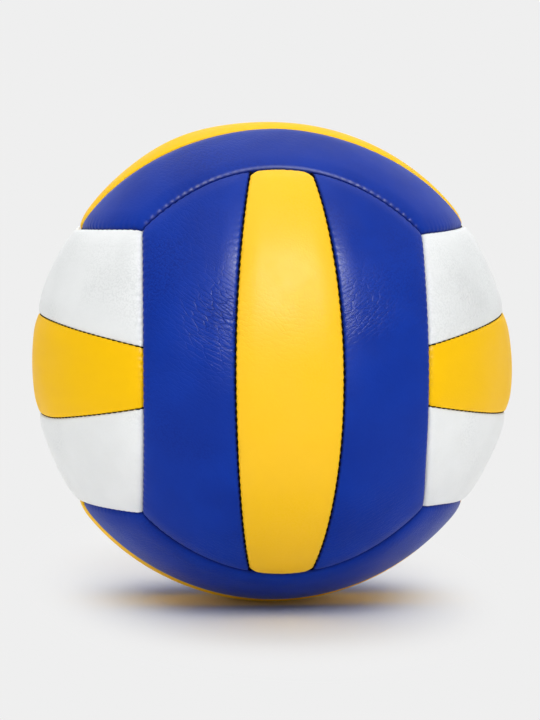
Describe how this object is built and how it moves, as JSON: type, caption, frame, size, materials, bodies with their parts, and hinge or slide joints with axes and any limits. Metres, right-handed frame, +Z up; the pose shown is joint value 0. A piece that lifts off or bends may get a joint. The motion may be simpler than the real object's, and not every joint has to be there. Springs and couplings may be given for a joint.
{
  "type": "volleyball",
  "caption": "Indoor volleyball: a padded panelled cover of sewn strips in blue, yellow and white round an inflated bladder with a needle valve.",
  "frame": {"origin": "centre of the ball", "axes": "+Z up, with the ball resting on its lowest point; -Y towards the group with upright strips that faces forwards; +Y out along the needle channel of the valve"},
  "size_m": [0.21, 0.2099, 0.21],
  "materials": {
    "blue_skin": "soft matt synthetic leather, blue, fine grain",
    "yellow_skin": "soft matt synthetic leather, yellow, fine grain",
    "white_skin": "soft matt synthetic leather, white, fine grain",
    "foam": "closed-cell foam, cream",
    "lining": "plain woven cloth, light grey",
    "thread": "waxed sewing thread, near black",
    "bladder_rubber": "matt butyl rubber, near black",
    "valve_rubber": "moulded rubber, dark grey",
    "plug_rubber": "moulded rubber, black"
  },
  "bodies": {
    "root": {"cover_front_left": "blue_skin", "cover_front_middle": "yellow_skin", "cover_front_right": "blue_skin", "cover_back_right": "blue_skin", "cover_back_middle": "yellow_skin", "cover_back_left": "blue_skin", "cover_left_lower": "white_skin", "cover_left_middle": "yellow_skin", "cover_left_upper": "white_skin", "cover_right_upper": "white_skin", "cover_right_middle": "yellow_skin", "cover_right_lower": "white_skin", "cover_top_back": "blue_skin", "cover_top_middle": "yellow_skin", "cover_top_front": "blue_skin", "cover_bottom_front": "blue_skin", "cover_bottom_middle": "yellow_skin", "cover_bottom_back": "blue_skin", "foam_front_left": "foam", "foam_front_middle": "foam", "foam_front_right": "foam", "foam_back_right": "foam", "foam_back_middle": "foam", "foam_back_left": "foam", "foam_left_lower": "foam", "foam_left_middle": "foam", "foam_left_upper": "foam", "foam_right_upper": "foam", "foam_right_middle": "foam", "foam_right_lower": "foam", "foam_top_back": "foam", "foam_top_middle": "foam", "foam_top_front": "foam", "foam_bottom_front": "foam", "foam_bottom_middle": "foam", "foam_bottom_back": "foam", "lining_front_left": "lining", "lining_front_middle": "lining", "lining_front_right": "lining", "lining_back_right": "lining", "lining_back_middle": "lining", "lining_back_left": "lining", "lining_left_lower": "lining", "lining_left_middle": "lining", "lining_left_upper": "lining", "lining_right_upper": "lining", "lining_right_middle": "lining", "lining_right_lower": "lining", "lining_top_back": "lining", "lining_top_middle": "lining", "lining_top_front": "lining", "lining_bottom_front": "lining", "lining_bottom_middle": "lining", "lining_bottom_back": "lining", "thread_strip_seams": "thread", "thread_group_seams": "thread", "bladder": "bladder_rubber", "valve_housing": "valve_rubber", "valve_plug": "plug_rubber"}
  },
  "joints": []
}
